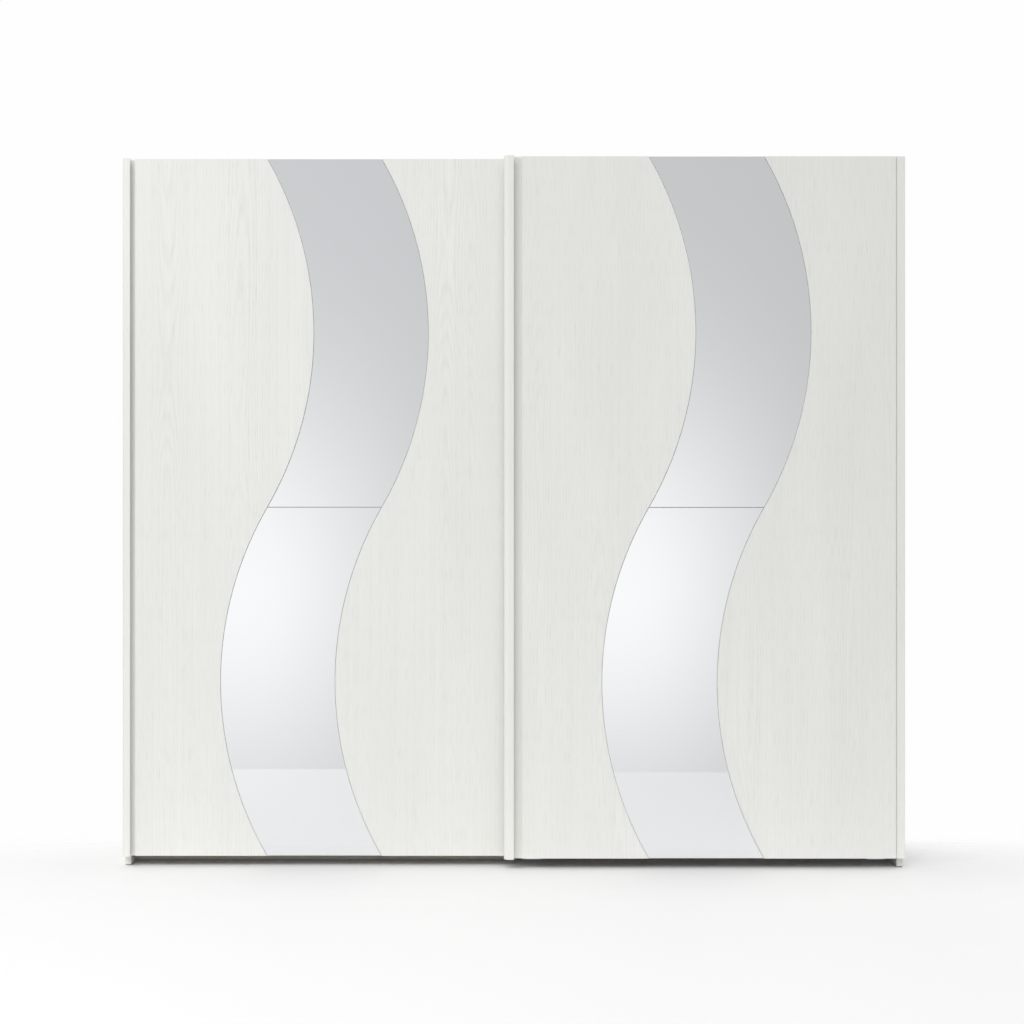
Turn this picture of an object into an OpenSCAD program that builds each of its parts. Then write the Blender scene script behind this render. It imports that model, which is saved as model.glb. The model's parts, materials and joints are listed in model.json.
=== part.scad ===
// Two-door sliding wardrobe with S-shaped mirror bands. Millimetres, +Z up, front towards -Y.
// The origin is at the middle of the footprint, on the floor.

/* [Body] */
// Overall width over the sides
body_w = 2750; // [2200:10:3000]
// Overall height to the top of the front door
body_h = 2500; // [2300:10:2700]
// Overall depth from the front grip to the back edge of the sides
body_d = 650; // [600:5:720]
// Thickness of sides, partition, top, bottom and shelf boards
board_t = 22; // [18:1:22]
// Thickness of the back panels
back_t = 8; // [5:1:10]
// Height from the floor to the underside of the bottom boards
plinth_h = 60; // [58:1:80]
// Height of the plastic glides under the sides
glide_h = 3; // [2:1:5]

/* [Doors] */
// Thickness of a door
door_t = 22; // [20:1:24]
// Distance between the two doors' faces
door_pitch = 50; // [50:1:54]
// How far one door covers the other when both are closed
door_overlap = 62; // [50:1:80]
// Gap under the doors
door_clear = 38; // [38:1:44]
// How much lower the rear door's top is than the front door's
rear_drop = 1.5; // [1.5:0.5:6]
// Width of the rear door's edge that stays open when a door is slid fully
open_reveal = 130; // [130:5:200]

/* [Grips] */
// Width of the front door's grip post
front_post_w = 35; // [30:1:40]
// Width of the front door's finger channel
front_channel_w = 27.5; // [20:0.5:30]
// How far the front door's post stands out of its face
front_post_out = 25; // [15:1:30]
// Width of the rear door's grip post
rear_post_w = 27.5; // [24:0.5:35]
// Width of the rear door's finger channel
rear_channel_w = 14.5; // [12:0.5:27]
// How far the rear door's post stands out of its face
rear_post_out = 21; // [12:1:21]
// Width of the strip on each door's right edge, with its shadow groove
edge_strip_w = 32; // [26:1:40]

/* [Mirrors] */
// Level width of the mirror band
mirror_w = 406; // [250:2:480]
// Where the band's left line crosses the seam, from the door's left edge
mirror_in = 507; // [450:1:560]
// Angle that each half of the S turns through
arc_deg = 60; // [30:1:64]
// Thickness of the mirrors
mirror_t = 4; // [3:0.5:6]
// Gap all round a mirror
mirror_gap = 1.5; // [1:0.5:3]

/* [Inside] */
// Height of the hat shelf's top face
shelf_z = 2082; // [1700:2:2120]
// Distance from the shelf down to the middle of the hanging rail
rail_drop = 75; // [60:1:120]

/* [Hidden] */
$fn = 48;
ash = [0.90, 0.90, 0.88];
ash_dark = [0.80, 0.80, 0.78];
melamine = [0.86, 0.85, 0.82];
silvered = [0.80, 0.83, 0.85];
alloy = [0.72, 0.73, 0.74];
steel = [0.60, 0.61, 0.62];
nylon = [0.93, 0.93, 0.91];
black = [0.12, 0.12, 0.12];

REAR = 0;
FRONT = 1;
eps = 0.01;
fit = 0.3;

// Planes from front to back
half_w = body_w / 2;
front_y = -body_d / 2 + front_post_out;
carcass_y = front_y + door_pitch + door_t + 6;
back_y = body_d / 2;
function face_y(d) = d == FRONT ? front_y : front_y + door_pitch;
function rear_of(d) = face_y(d) + door_t;

// Doors
door_w = (body_w + door_overlap) / 2;
travel = door_w - open_reveal;
function door_x(d) = d == FRONT ? half_w - door_w : -half_w;
function door_top(d) = d == FRONT ? body_h : body_h - rear_drop;
function post_w(d) = d == FRONT ? front_post_w : rear_post_w;
function channel_w(d) = d == FRONT ? front_channel_w : rear_channel_w;
function post_out(d) = d == FRONT ? front_post_out : rear_post_out;
function panel_x0(d) = door_x(d) + post_w(d) + channel_w(d);
function panel_x1(d) = door_x(d) + door_w - edge_strip_w;
channel_depth = 6;

// The S: two equal arcs that meet at half height
half_h = (body_h - door_clear) / 2;
mid_z = door_clear + half_h;
arc_r = half_h / (2 * sin(arc_deg / 2));
arc_out = arc_r * (1 - cos(arc_deg / 2));
mirror_recess = 0.5;
pocket_d = mirror_t + mirror_recess;

// Carcass
carcass_top = body_h - 64;
inner_x = half_w - board_t;
part_x = board_t / 2;
back_in = 8;
back_y0 = back_y - back_in - back_t;
groove_d = 6;
filler_y = front_y + 39;
plinth_y = carcass_y + 92;
plinth_t = 18;
floor_z = plinth_h + board_t;
shelf_front = carcass_y + 45;
shelf_z0 = shelf_z - board_t;
rail_z = shelf_z0 - rail_drop;
rail_y = 48;
rail_oval = [15, 30];
rail_wall = 1.5;
peg_ys = [-120, 230];
cam_ys = [-60, 100, 250];
cam_in = 34;
cam_r = 7.5;
cam_h = 12.5;
bolt_r = 3;
bolt_in = 9;

// Running gear, above the carcass top
hang_in = 130;
hang_half = 60;
carriage_half = 50;
axle_in = 32;
plate_t = 3;
weld_gap = 0.05;
lane_y = [carcass_y + 27, carcass_y + 77];
head_r = 3;
rail_top = carcass_top + 16;
wheel_r = 16;
tread_r = 12.5;
wheel_w = 10;
axle_r = 3;
axle_z = rail_top + tread_r + fit;
flange_z = carcass_top + 42;
flange_reach = 6;
arm_z = [carcass_top + 48, carcass_top + 51];
over_z = body_h + 0.5;
web_y = lane_y[1] - 40;
track_t = 3;
track_y = [carcass_y + 5, carcass_y + 93];
divider_y = carcass_y + 43;
lip_z = carcass_top + 46.5;
lip_t = 2.5;
buffer_t = 6;
stop_len = 25;

// Guides, under the bottom boards
guide_in = 100;
guide_half = 30;
channel_y = [carcass_y + 22, carcass_y + 62];
roller_r = 9;
roller_h = 10;
guide_wall = 2.5;
guide_z0 = 45;
guide_in_half = roller_r + 0.5;
under_z = 31.5;
inside_z = 40.2;

// Screws
screw_r = 2;
screw_head_r = 4;
screw_head_h = 2;
screw_len = 14;
track_screw_xs = [150, 600, 1050];
track_screw_ys = [carcass_y + 12, carcass_y + 56];
guide_screw_y = carcass_y + 42;
bracket_x = 700;
bracket_screw_xs = [bracket_x - 18, bracket_x + 18];
bracket_screw_y = back_y - 45;

function hanger_x(d, i) = door_x(d) + (i == 0 ? hang_in : door_w - hang_in);
function guide_x(d, i) = door_x(d) + (i == 0 ? guide_in : door_w - guide_in);
function wheel_x(d, n) = hanger_x(d, floor(n / 2)) + (n % 2 == 0 ? -axle_in : axle_in);
function prefix(d) = d == FRONT ? "right_" : "left_";

DOOR_PARTS = ["panel", "mirror_upper", "mirror_lower", "grip", "edge_strip", "hangers", "adjusters",
    "carriages", "wheel_1", "wheel_2", "wheel_3", "wheel_4", "screws", "guide_arms",
    "roller_1", "roller_2"];
CARCASS_PARTS = ["side_left", "side_right", "side_filler", "partition", "top_left", "top_right",
    "bottom_left", "bottom_right", "back_left", "back_right", "plinth_left", "plinth_right",
    "rear_rail_left", "rear_rail_right", "glides", "shelf_left", "shelf_right", "shelf_pins",
    "rail_left", "rail_right", "rail_sockets", "cam_fittings", "wall_brackets", "top_track",
    "track_stops", "stop_buffers", "guide_track", "carcass_screws"];

// ---------- helpers ----------

// A box between two corners
module block(p, q) {
  translate(p) cube(q - p);
}

// A flat outline in X and Z, from y0 back to y1
module upright(y0, y1) {
  translate([0, y1, 0]) rotate([90, 0, 0]) linear_extrude(height = y1 - y0) children();
}

// A flat outline in Y and Z, from x0 to x1
module along_x(x0, x1) {
  translate([x0, 0, 0]) rotate([90, 0, 90]) linear_extrude(height = x1 - x0) children();
}

// Round bars from a point along one axis
module bar_x(p, r, len) {
  translate(p) rotate([0, 90, 0]) cylinder(r = r, h = len);
}

module bar_y(p, r, len) {
  translate(p) rotate([-90, 0, 0]) cylinder(r = r, h = len);
}

module bar_z(p, r, len) {
  translate(p) cylinder(r = r, h = len);
}

// A wood screw whose head rests at p, pointing down or up
module screw_down(p) {
  bar_z(p - [0, 0, screw_len], screw_r, screw_len);
  bar_z(p, screw_head_r, screw_head_h);
}

module screw_up(p) {
  bar_z(p, screw_r, screw_len);
  bar_z(p - [0, 0, screw_head_h], screw_head_r, screw_head_h);
}

// ---------- carcass ----------

// Holes for the cam bolts of the top and bottom boards, drilled from one face at x going towards +X
module bolt_holes(x) {
  for (y = cam_ys) {
    for (z = [carcass_top - board_t / 2, plinth_h + board_t / 2]) {
      bar_x([x, y, z], bolt_r + fit, bolt_in + fit);
    }
  }
}

// Holes for the shelf pins
module pin_holes(x) {
  for (y = peg_ys) {
    bar_x([x, y, shelf_z0 - 6], 2.5 + fit, bolt_in + fit);
  }
}

// Holes for the pegs of a rail socket
module socket_holes(x) {
  for (z = [rail_z - 16, rail_z + 16]) {
    bar_x([x, rail_y, z], 2.5 + fit, bolt_in + fit);
  }
}

// Groove that takes the back panel's edge
module back_groove(x0, x1) {
  block([x0, back_y0 - 0.2, plinth_h - 2], [x1, back_y0 + back_t + 0.2, carcass_top + 1]);
}

module side_board(s) {
  x0 = s > 0 ? inner_x : -half_w;
  drill_x = s > 0 ? inner_x - eps : -inner_x - bolt_in - fit + eps;
  color(ash) difference() {
    block([x0, carcass_y, glide_h], [x0 + board_t, back_y, carcass_top]);
    bolt_holes(drill_x);
    pin_holes(drill_x);
    socket_holes(drill_x);
    back_groove(s > 0 ? inner_x - 1 : -inner_x - groove_d, s > 0 ? inner_x + groove_d : -inner_x + 1);
  }
}

module side_filler() {
  color(ash) block([inner_x, filler_y, glide_h], [half_w, carcass_y, carcass_top]);
}

module partition() {
  color(melamine) difference() {
    block([-part_x, carcass_y, glide_h], [part_x, back_y, carcass_top]);
    block([-part_x - 1, carcass_y - 1, 0], [part_x + 1, plinth_y + plinth_t, plinth_h]);
    for (x = [-part_x - eps, part_x - bolt_in - fit + eps]) {
      bolt_holes(x);
      pin_holes(x);
      socket_holes(x);
    }
    back_groove(-part_x - 1, -part_x + groove_d);
    back_groove(part_x - groove_d, part_x + 1);
  }
}

// Bores of the cams and their bolts in a board whose cams open at face z, going down (dir -1) or up (1)
module cam_bores(s, z, dir) {
  for (y = cam_ys) {
    for (x = [part_x, inner_x]) {
      inward = x == part_x ? 1 : -1;
      cam_x = x + inward * cam_in;
      bar_z([s * cam_x, y, dir < 0 ? z - cam_h : z - 1], cam_r + fit, cam_h + 1);
      bar_x([min(s * x, s * cam_x) - (s * inward > 0 ? 1 : 0), y, z + dir * board_t / 2],
          bolt_r + fit, cam_in + 1);
    }
  }
}

module top_board(s) {
  color(melamine) difference() {
    block([s > 0 ? part_x : -inner_x, carcass_y, carcass_top - board_t],
        [s > 0 ? inner_x : -part_x, back_y0, carcass_top]);
    cam_bores(s, carcass_top, -1);
    for (x = track_screw_xs) {
      for (y = track_screw_ys) {
        bar_z([s * x, y, carcass_top - screw_len], screw_r + fit, screw_len + 1);
      }
    }
    for (x = bracket_screw_xs) {
      bar_z([s * x, bracket_screw_y, carcass_top - screw_len], screw_r + fit, screw_len + 1);
    }
  }
}

module bottom_board(s) {
  color(melamine) difference() {
    block([s > 0 ? part_x : -inner_x, carcass_y, plinth_h],
        [s > 0 ? inner_x : -part_x, back_y0, floor_z]);
    cam_bores(s, plinth_h, 1);
    for (x = track_screw_xs) {
      bar_z([s * x, guide_screw_y, plinth_h - 1], screw_r + fit, screw_len + 1);
    }
  }
}

module back_panel(s) {
  x0 = part_x - groove_d + 0.2;
  x1 = inner_x + groove_d - 0.2;
  color(melamine) block([s > 0 ? x0 : -x1, back_y0, plinth_h], [s > 0 ? x1 : -x0, back_y0 + back_t,
      carcass_top]);
}

module plinth(s) {
  color(ash_dark) block([s > 0 ? 0.5 : -inner_x, plinth_y, glide_h],
      [s > 0 ? inner_x : -0.5, plinth_y + plinth_t, plinth_h]);
}

module rear_rail(s) {
  color(melamine) block([s > 0 ? part_x : -inner_x, back_y0 - plinth_t, glide_h],
      [s > 0 ? inner_x : -part_x, back_y0, plinth_h]);
}

module glides() {
  glide_w = board_t - 4;
  glide_len = 40;
  color(black) {
    for (x = [-half_w + 2, half_w - board_t + 2]) {
      for (y = [carcass_y + 8, back_y - glide_len - 10]) {
        block([x, y, 0], [x + glide_w, y + glide_len, glide_h]);
      }
    }
    for (y = [plinth_y + plinth_t + 8, back_y - glide_len - 10]) {
      block([-part_x + 2, y, 0], [part_x - 2, y + glide_len, glide_h]);
    }
    block([inner_x + 2, filler_y + 3, 0], [half_w - 2, carcass_y - 3, glide_h]);
  }
}

module shelf(s) {
  gap = 0.5;
  color(melamine) block([s > 0 ? part_x + gap : -inner_x + gap, shelf_front, shelf_z0],
      [s > 0 ? inner_x - gap : -part_x - gap, back_y0 - 1, shelf_z]);
}

module shelf_pins() {
  pad = 12;
  color(steel) {
    for (s = [-1, 1]) {
      for (x = [part_x, inner_x]) {
        for (y = peg_ys) {
          outward = (x == part_x ? 1 : -1) * s;
          bar_x([s * x - (outward > 0 ? bolt_in : pad), y, shelf_z0 - 6], 2.5, bolt_in + pad);
          x0 = outward > 0 ? s * x + 0.2 : s * x - pad;
          block([x0, y - pad / 2, shelf_z0 - 5], [x0 + pad - 0.2, y + pad / 2, shelf_z0]);
        }
      }
    }
  }
}

// An oval outline, wide in Y and tall in Z
module oval(w, h) {
  square([w, h - w], center = true);
  for (z = [-1, 1]) {
    translate([0, z * (h - w) / 2]) circle(d = w);
  }
}

module hanging_rail(s) {
  end_gap = 5;
  x0 = part_x + end_gap;
  x1 = inner_x - end_gap;
  color(alloy) along_x(s > 0 ? x0 : -x1, s > 0 ? x1 : -x0) translate([rail_y, rail_z]) difference() {
    oval(rail_oval[0], rail_oval[1]);
    oval(rail_oval[0] - 2 * rail_wall, rail_oval[1] - 2 * rail_wall);
  }
}

module rail_sockets() {
  plate = 4;
  collar = 16;
  color(steel) {
    for (s = [-1, 1]) {
      for (x = [part_x, inner_x]) {
        outward = (x == part_x ? 1 : -1) * s;
        x0 = outward > 0 ? s * x : s * x - plate;
        along_x(x0, x0 + plate) translate([rail_y, rail_z]) square([26, 50], center = true);
        c0 = outward > 0 ? s * x + plate - eps : s * x - collar;
        along_x(c0, c0 + collar - plate + eps) translate([rail_y, rail_z]) difference() {
          oval(rail_oval[0] + 5, rail_oval[1] + 5);
          oval(rail_oval[0] + 2 * fit, rail_oval[1] + 2 * fit);
        }
        for (z = [rail_z - 16, rail_z + 16]) {
          bar_x([outward > 0 ? s * x - bolt_in : s * x - eps, rail_y, z], 2.5, bolt_in + eps);
        }
      }
    }
  }
}

module cam_fittings() {
  color(steel) {
    for (s = [-1, 1]) {
      for (x = [part_x, inner_x]) {
        for (y = cam_ys) {
          for (z = [carcass_top - cam_h, plinth_h]) {
            inward = x == part_x ? 1 : -1;
            cam_x = x + inward * cam_in;
            bolt_z = z == plinth_h ? plinth_h + board_t / 2 : carcass_top - board_t / 2;
            x_lo = min(s * cam_x, s * (x - inward * bolt_in));
            bar_z([s * cam_x, y, z], cam_r, cam_h);
            bar_x([x_lo, y, bolt_z], bolt_r, cam_in + bolt_in);
          }
        }
      }
    }
  }
}

module wall_brackets() {
  leg = 2;
  color(steel) {
    for (s = [-1, 1]) {
      difference() {
        union() {
          block([s * bracket_x - 35, back_y - 65, carcass_top],
              [s * bracket_x + 35, back_y, carcass_top + leg]);
          block([s * bracket_x - 35, back_y - leg, carcass_top],
              [s * bracket_x + 35, back_y, carcass_top + 45]);
        }
        bar_y([s * bracket_x, back_y - leg - 1, carcass_top + 27], 4, leg + 2);
        for (x = bracket_screw_xs) {
          bar_z([s * x, bracket_screw_y, carcass_top - 1], screw_r + fit, leg + 2);
        }
      }
    }
  }
}

// ---------- top track ----------

// Rail that a grooved wheel runs on, with a round head
module rail_outline(y) {
  translate([y - 2, carcass_top + track_t - eps]) square([4, rail_top - head_r - carcass_top - track_t]);
  translate([y, rail_top - head_r]) circle(r = head_r);
}

// Wall with a lip over the wheels that keeps them on the rail
module guard_outline(y, lip_y) {
  top = lip_z + lip_t;
  translate([y, carcass_top + track_t - eps]) square([track_t, top - carcass_top - track_t + eps]);
  translate([lip_y, lip_z]) square([y - lip_y + eps, lip_t]);
}

module top_track() {
  color(alloy) difference() {
    along_x(-half_w + 3, half_w - 3) {
      translate([track_y[0], carcass_top]) square([track_y[1] - track_y[0], track_t]);
      translate([track_y[0], carcass_top]) square([track_t, 12]);
      rail_outline(lane_y[REAR]);
      rail_outline(lane_y[FRONT]);
      guard_outline(divider_y, lane_y[REAR] - 4);
      guard_outline(track_y[1] - track_t, lane_y[FRONT] - 4);
    }
    for (s = [-1, 1]) {
      for (x = track_screw_xs) {
        for (y = track_screw_ys) {
          bar_z([s * x, y, carcass_top - 1], screw_r + fit, track_t + 2);
        }
      }
    }
  }
}

// Where a door's carriages stop: the low and the high end of its lane
function lane_end(d, hi) = hi
    ? hanger_x(d, 1) + carriage_half + (d == REAR ? travel : 0) + 0.5
    : hanger_x(d, 0) - carriage_half - (d == FRONT ? travel : 0) - 0.5;

module track_stops() {
  color(alloy) {
    for (d = [REAR, FRONT]) {
      for (hi = [false, true]) {
        x0 = hi ? lane_end(d, hi) + buffer_t : lane_end(d, hi) - buffer_t - stop_len;
        block([x0, lane_y[d] - 18, carcass_top + track_t], [x0 + stop_len, lane_y[d] - 3,
            carcass_top + 38]);
      }
    }
  }
}

module stop_buffers() {
  color(black) {
    for (d = [REAR, FRONT]) {
      for (hi = [false, true]) {
        x0 = hi ? lane_end(d, hi) : lane_end(d, hi) - buffer_t;
        bar_x([x0, lane_y[d] - 10, carcass_top + 28], 6, buffer_t);
      }
    }
  }
}

// ---------- bottom guide track ----------

module guide_track() {
  y0 = channel_y[0] - guide_in_half - guide_wall;
  y1 = channel_y[1] + guide_in_half + guide_wall;
  color(alloy) difference() {
    along_x(-inner_x + 1, inner_x - 1) {
      translate([y0, plinth_h - guide_wall]) square([y1 - y0, guide_wall]);
      for (c = channel_y) {
        for (y = [c - guide_in_half - guide_wall, c + guide_in_half]) {
          translate([y, guide_z0]) square([guide_wall, plinth_h - guide_z0 - eps]);
        }
      }
    }
    for (s = [-1, 1]) {
      for (x = track_screw_xs) {
        bar_z([s * x, guide_screw_y, guide_z0], screw_r + fit, plinth_h);
      }
    }
  }
}

module carcass_screws() {
  color(steel) {
    for (s = [-1, 1]) {
      for (x = track_screw_xs) {
        for (y = track_screw_ys) {
          screw_down([s * x, y, carcass_top + track_t]);
        }
        screw_up([s * x, guide_screw_y, plinth_h - guide_wall]);
      }
      for (x = bracket_screw_xs) {
        screw_down([s * x, bracket_screw_y, carcass_top + 2]);
      }
    }
  }
}

// ---------- doors ----------

// One half of the S band, shrunk by g at both sides, between two heights
module band_half(d, upper, g, z0, z1) {
  x0 = door_x(d) + mirror_in;
  centre = [x0 + (upper ? -1 : 1) * arc_r * cos(arc_deg / 2), mid_z + (upper ? 1 : -1) * half_h / 2];
  shift = [mirror_w, 0];
  margin = 30;
  intersection() {
    difference() {
      translate(centre + (upper ? shift : [0, 0])) circle(r = arc_r - g);
      translate(centre + (upper ? [0, 0] : shift)) circle(r = arc_r + g);
    }
    translate([x0 - margin - (upper ? 0 : arc_out), z0])
      square([mirror_w + arc_out + 2 * margin, z1 - z0]);
  }
}

// Screw places on a door's back: four at each hanger, two at each guide arm
function door_screws(d) = concat(
    [for (i = [0, 1]) for (dx = [-45, 45]) for (z = [16, 36]) [hanger_x(d, i) + dx, carcass_top + z]],
    [for (i = [0, 1]) for (dx = [-18, 18]) [guide_x(d, i) + dx, 55]]);

module door_panel(d) {
  color(ash) difference() {
    block([panel_x0(d), face_y(d), door_clear], [panel_x1(d), rear_of(d), door_top(d)]);
    upright(face_y(d) - 1, face_y(d) + pocket_d) band_half(d, true, 0, mid_z, door_top(d) + 1);
    upright(face_y(d) - 1, face_y(d) + pocket_d) band_half(d, false, 0, door_clear - 1, mid_z);
    for (p = door_screws(d)) {
      bar_y([p[0], rear_of(d) - screw_len, p[1]], screw_r + fit, screw_len + 1);
    }
  }
}

module mirror_upper(d) {
  color(silvered) upright(face_y(d) + mirror_recess, face_y(d) + pocket_d)
    band_half(d, true, mirror_gap, mid_z + mirror_gap / 2, door_top(d) - 1);
}

module mirror_lower(d) {
  color(silvered) upright(face_y(d) + mirror_recess, face_y(d) + pocket_d)
    band_half(d, false, mirror_gap, door_clear + 1, mid_z - mirror_gap / 2);
}

// Post with a rounded left half, an undercut lip on the right and the finger channel's floor
module grip(d) {
  w = post_w(d);
  out = post_out(d);
  round_r = w * 0.49;
  lip = 5;
  hook = 6;
  outline = [[0, door_t], [0, round_r - out], [round_r, round_r - out], [round_r, -out],
      [w - 1, -out], [w, 1 - out], [w, lip - out], [w - hook, lip + 2 - out],
      [w - hook, channel_depth], [w + channel_w(d), channel_depth], [w + channel_w(d), door_t]];
  color(ash) translate([door_x(d), face_y(d), door_clear])
    linear_extrude(height = door_top(d) - door_clear) {
      polygon(outline);
      intersection() {
        translate([round_r, round_r - out]) circle(r = round_r);
        translate([0, -out]) square(round_r);
      }
    }
}

module edge_strip(d) {
  w = edge_strip_w;
  groove = 4;
  outline = [[0, door_t], [0, channel_depth], [groove, channel_depth], [groove, -1], [w - 1, -1],
      [w, 0], [w, door_t]];
  color(ash) translate([door_x(d) + door_w - w, face_y(d), door_clear])
    linear_extrude(height = door_top(d) - door_clear) polygon(outline);
}

// Level of the arm that the adjusters go through
function arm_top(d) = arm_z[1] + (d == FRONT ? plate_t : 0);
function adjuster_y(d) = lane_y[d] - (d == FRONT ? 24 : 17);

// Corners [y, z] of a hanger's welded plates: on the door's back, towards the lane, down and in
function hanger_plates(d) = d == FRONT
    ? [[[rear_of(d), carcass_top + 6], [rear_of(d) + plate_t, over_z + plate_t]],
       [[rear_of(d) + plate_t + weld_gap, over_z], [web_y - weld_gap, over_z + plate_t]],
       [[web_y, arm_z[1]], [web_y + plate_t, over_z + plate_t]],
       [[web_y + plate_t + weld_gap, arm_z[1]], [lane_y[d] - 8, arm_z[1] + plate_t]]]
    : [[[rear_of(d), carcass_top + 6], [rear_of(d) + plate_t, arm_z[1]]],
       [[rear_of(d) + plate_t + weld_gap, arm_z[0]], [lane_y[d] - 8, arm_z[1]]]];

// Steel bracket on the door's back. The front door's reaches over the rear door to the second lane.
module hangers(d) {
  color(steel) {
    for (i = [0, 1]) {
      xc = hanger_x(d, i);
      difference() {
        union() {
          for (p = hanger_plates(d)) {
            block([xc - hang_half, p[0][0], p[0][1]], [xc + hang_half, p[1][0], p[1][1]]);
          }
        }
        for (dx = [-45, 45]) {
          for (z = [16, 36]) {
            bar_y([xc + dx, rear_of(d) - 1, carcass_top + z], screw_r + fit, plate_t + 2);
          }
        }
        for (dx = [-20, 20]) {
          bar_z([xc + dx, adjuster_y(d), arm_z[0] - 1], 3 + fit, 8);
        }
      }
    }
  }
}

// Height adjusting bolts with their nuts
module adjusters(d) {
  flange_top = flange_z + plate_t;
  color(steel) {
    for (i = [0, 1]) {
      for (dx = [-20, 20]) {
        p = [hanger_x(d, i) + dx, adjuster_y(d), 0];
        bar_z(p + [0, 0, flange_z - 12], 3, arm_top(d) - flange_z + 12);
        translate(p + [0, 0, arm_top(d)]) cylinder(r = 5, h = 3.5, $fn = 6);
        translate(p + [0, 0, flange_top]) cylinder(r = 5, h = arm_top(d) - plate_t - flange_top, $fn = 6);
        translate(p + [0, 0, flange_z - 4]) cylinder(r = 5, h = 4, $fn = 6);
      }
    }
  }
}

// Carriage: an upright plate with two axles and a flange for the adjusters
module carriages(d) {
  plate_y = lane_y[d] - wheel_w / 2 - 7;
  flange_y = adjuster_y(d) - flange_reach;
  plate_w = 5;
  color(alloy) {
    for (i = [0, 1]) {
      xc = hanger_x(d, i);
      difference() {
        union() {
          block([xc - carriage_half, plate_y, carcass_top + 19],
              [xc + carriage_half, plate_y + plate_w, flange_z + plate_t]);
          block([xc - carriage_half, flange_y, flange_z],
              [xc + carriage_half, plate_y + plate_w, flange_z + plate_t]);
        }
        for (dx = [-20, 20]) {
          bar_z([xc + dx, adjuster_y(d), flange_z - 1], 3 + fit, plate_t + 2);
        }
      }
      for (dx = [-axle_in, axle_in]) {
        bar_y([xc + dx, plate_y + plate_w - eps, axle_z], axle_r, wheel_w + 3);
        bar_y([xc + dx, plate_y + plate_w + wheel_w + 2.5, axle_z], axle_r + 2, 1.5);
      }
    }
  }
}

// Nylon wheel with a round groove that sits over the rail's head
module wheel(d, n) {
  groove_r = head_r + fit;
  color(nylon) translate([wheel_x(d, n), lane_y[d], axle_z]) rotate([90, 0, 0]) rotate_extrude()
    difference() {
      translate([axle_r + fit, -wheel_w / 2]) square([wheel_r - axle_r - fit, wheel_w]);
      translate([tread_r + groove_r, 0]) circle(r = groove_r);
      translate([tread_r + groove_r, -groove_r]) square([wheel_r, 2 * groove_r]);
    }
}

module door_screw_set(d) {
  color(steel) {
    for (p = door_screws(d)) {
      bar_y([p[0], rear_of(d) - screw_len + 0.5, p[1]], screw_r, screw_len + plate_t - 0.5);
      bar_y([p[0], rear_of(d) + plate_t, p[1]], screw_head_r, 1);
    }
  }
}

// Guide arms: a plate on the door's back, an arm under the guide track and a pin for the roller
module guide_arms(d) {
  z = d == FRONT ? under_z : inside_z;
  plate_top = 72;
  pin_low = guide_z0 + 1.2;
  color(steel) {
    for (i = [0, 1]) {
      xc = guide_x(d, i);
      difference() {
        union() {
          block([xc - guide_half, rear_of(d), z], [xc + guide_half, rear_of(d) + plate_t, plate_top]);
          block([xc - guide_half, rear_of(d), z], [xc + guide_half, channel_y[d] + 8, z + plate_t]);
        }
        for (dx = [-18, 18]) {
          bar_y([xc + dx, rear_of(d) - 1, 55], screw_r + fit, plate_t + 2);
        }
      }
      bar_z([xc, channel_y[d], z + plate_t - eps], axle_r, 57 - z - plate_t);
      bar_z([xc, channel_y[d], z + plate_t - eps], axle_r + 2, pin_low - z - plate_t);
    }
  }
}

module roller(d, i) {
  z0 = guide_z0 + 1.5;
  color(nylon) translate([guide_x(d, i), channel_y[d], z0]) rotate_extrude()
    translate([axle_r + fit, 0]) square([roller_r - axle_r - fit, roller_h]);
}

// Draws one part of a door by its short name
module door_part(d, p) {
  if (p == "panel") door_panel(d);
  if (p == "mirror_upper") mirror_upper(d);
  if (p == "mirror_lower") mirror_lower(d);
  if (p == "grip") grip(d);
  if (p == "edge_strip") edge_strip(d);
  if (p == "hangers") hangers(d);
  if (p == "adjusters") adjusters(d);
  if (p == "carriages") carriages(d);
  if (p == "screws") door_screw_set(d);
  if (p == "guide_arms") guide_arms(d);
  for (n = [0 : 3]) {
    if (p == str("wheel_", n + 1)) wheel(d, n);
  }
  for (i = [0, 1]) {
    if (p == str("roller_", i + 1)) roller(d, i);
  }
}

side_board(-1);  // side_left
side_board(1);  // side_right
side_filler();
partition();
top_board(-1);  // top_left
top_board(1);  // top_right
bottom_board(-1);  // bottom_left
bottom_board(1);  // bottom_right
back_panel(-1);  // back_left
back_panel(1);  // back_right
plinth(-1);  // plinth_left
plinth(1);  // plinth_right
rear_rail(-1);  // rear_rail_left
rear_rail(1);  // rear_rail_right
glides();
shelf(-1);  // shelf_left
shelf(1);  // shelf_right
shelf_pins();
hanging_rail(-1);  // rail_left
hanging_rail(1);  // rail_right
rail_sockets();
cam_fittings();
wall_brackets();
top_track();
track_stops();
stop_buffers();
guide_track();
carcass_screws();
for (d = [REAR, FRONT]) {
  for (p = DOOR_PARTS) {
    door_part(d, p);
  }
}
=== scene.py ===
"""Looks for a two-door sliding wardrobe: stained ash doors with S-shaped mirror bands, its boards and
running gear, and a plain studio around it."""

import json
import math

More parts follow.
